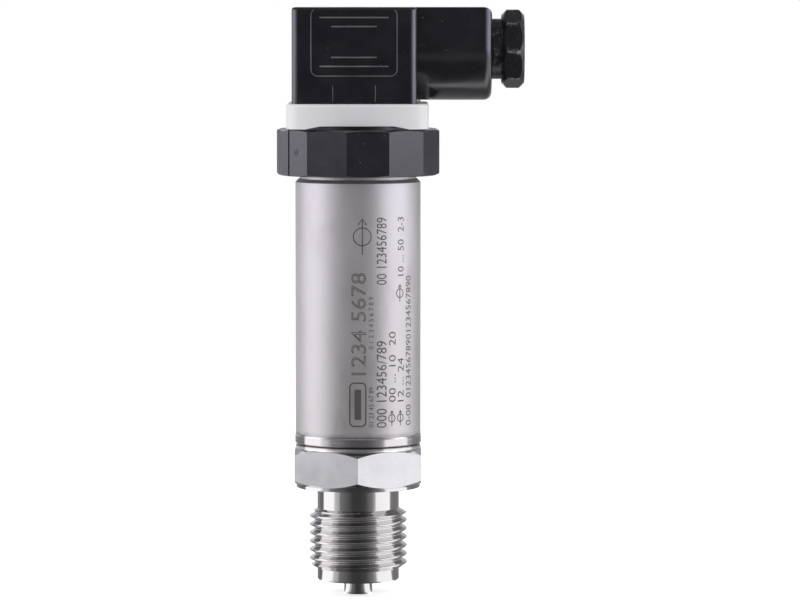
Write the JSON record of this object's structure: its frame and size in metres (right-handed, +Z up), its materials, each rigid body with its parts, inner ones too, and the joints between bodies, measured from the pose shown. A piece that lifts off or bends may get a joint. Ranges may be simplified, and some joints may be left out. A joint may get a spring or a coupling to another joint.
{
  "type": "pressure transmitter",
  "caption": "Cylindrical pressure transmitter with a threaded process connection, hexagon, satin case, union nut and an angled plug connector with a cable gland.",
  "frame": {"origin": "on the sensor axis, at the root of the pressure spigot, which is the process connection's lower sealing end face", "axes": "+Z up the sensor axis towards the plug, +X out along the cable gland, -Y the plug's front face"},
  "size_m": [0.0529, 0.0348, 0.1259],
  "materials": {
    "stainless_turned": "bright turned",
    "stainless_satin": "satin, bead blasted",
    "stainless_inner": "turned",
    "silicon": "polished",
    "gold_plated": "gold plated",
    "black_rubber": "matte",
    "natural_plastic": "moulded",
    "board_green": "solder mask",
    "chip_black": "moulded",
    "capacitor_tan": "ceramic",
    "lead_red": "insulated",
    "black_matte_plastic": "glass filled, matte",
    "tinned_contact": "tinned",
    "brass_insert": "turned",
    "white_gasket": "moulded, slightly translucent",
    "black_satin_plastic": "moulded, satin",
    "black_gloss_plastic": "moulded, semi gloss",
    "gland_plastic": "moulded, scuffed",
    "zinc_plated_screw": "zinc plated"
  },
  "bodies": {
    "case": {"process_connection": "stainless_turned", "measuring_cell": "stainless_inner", "isolating_diaphragm": "stainless_inner", "sensor_chip": "silicon", "header_pins": "gold_plated", "cell_o_ring": "black_rubber", "cell_locking_ring": "stainless_inner", "case_tube": "stainless_satin", "board_carrier_lower": "natural_plastic", "board_carrier_upper": "natural_plastic", "circuit_board": "board_green", "amplifier_chip": "chip_black", "board_capacitors": "capacitor_tan", "cell_leads": "lead_red", "head_leads": "lead_red"},
    "head": {"connector_base": "black_matte_plastic", "contact_blade_1": "tinned_contact", "contact_blade_2": "tinned_contact", "contact_blade_3": "tinned_contact", "earth_blade": "tinned_contact", "base_thread_insert": "brass_insert", "base_o_ring": "black_rubber", "profile_gasket": "white_gasket"},
    "union_nut": {"union_nut": "black_satin_plastic"},
    "plug": {"plug_housing": "black_gloss_plastic", "contact_insert": "black_matte_plastic", "socket_contact_1": "tinned_contact", "socket_contact_2": "tinned_contact", "socket_contact_3": "tinned_contact", "earth_socket": "tinned_contact", "terminal_screws": "zinc_plated_screw", "gland_seal": "black_rubber"},
    "gland_washer": {"gland_washer": "black_matte_plastic"},
    "gland_screw": {"gland_screw": "gland_plastic"},
    "screw_seal": {"screw_seal_ring": "black_rubber"},
    "plug_screw": {"plug_screw": "zinc_plated_screw"}
  },
  "joints": [
    {"name": "head_lift", "type": "slide", "parent": "case", "child": "head", "axis": [0, 0, 1], "range_m": [0, 0.006], "deforming": ["head_leads"]},
    {"name": "union_nut_turn", "type": "hinge", "parent": "head", "child": "union_nut", "pos_m": [0, 0, 0.092], "axis": [0, 0, 1], "range_deg": [0, 1460]},
    {"name": "plug_lift", "type": "slide", "parent": "head", "child": "plug", "axis": [0, 0, 1], "range_m": [0, 0.024]},
    {"name": "screw_rise", "type": "slide", "parent": "plug", "child": "screw_seal", "axis": [0, 0, 1], "range_m": [0, 0.0052]},
    {"name": "plug_screw_turn", "type": "hinge", "parent": "screw_seal", "child": "plug_screw", "pos_m": [0, 0, 0.12], "axis": [0, 0, 1], "range_deg": [0, 3790]},
    {"name": "gland_advance", "type": "slide", "parent": "plug", "child": "gland_washer", "axis": [1, 0, 0], "range_m": [-0.00214, 0.00705]},
    {"name": "gland_screw_turn", "type": "hinge", "parent": "gland_washer", "child": "gland_screw", "pos_m": [0.028, 0, 0.114], "axis": [1, 0, 0], "range_deg": [-560, 1830]}
  ],
  "couplings": [
    {"joint": "union_nut_turn", "follows": "head_lift", "rad_per_m": 4188.8},
    {"joint": "plug_screw_turn", "follows": "screw_rise", "rad_per_m": 12566},
    {"joint": "gland_screw_turn", "follows": "gland_advance", "rad_per_m": 4456.2}
  ]
}
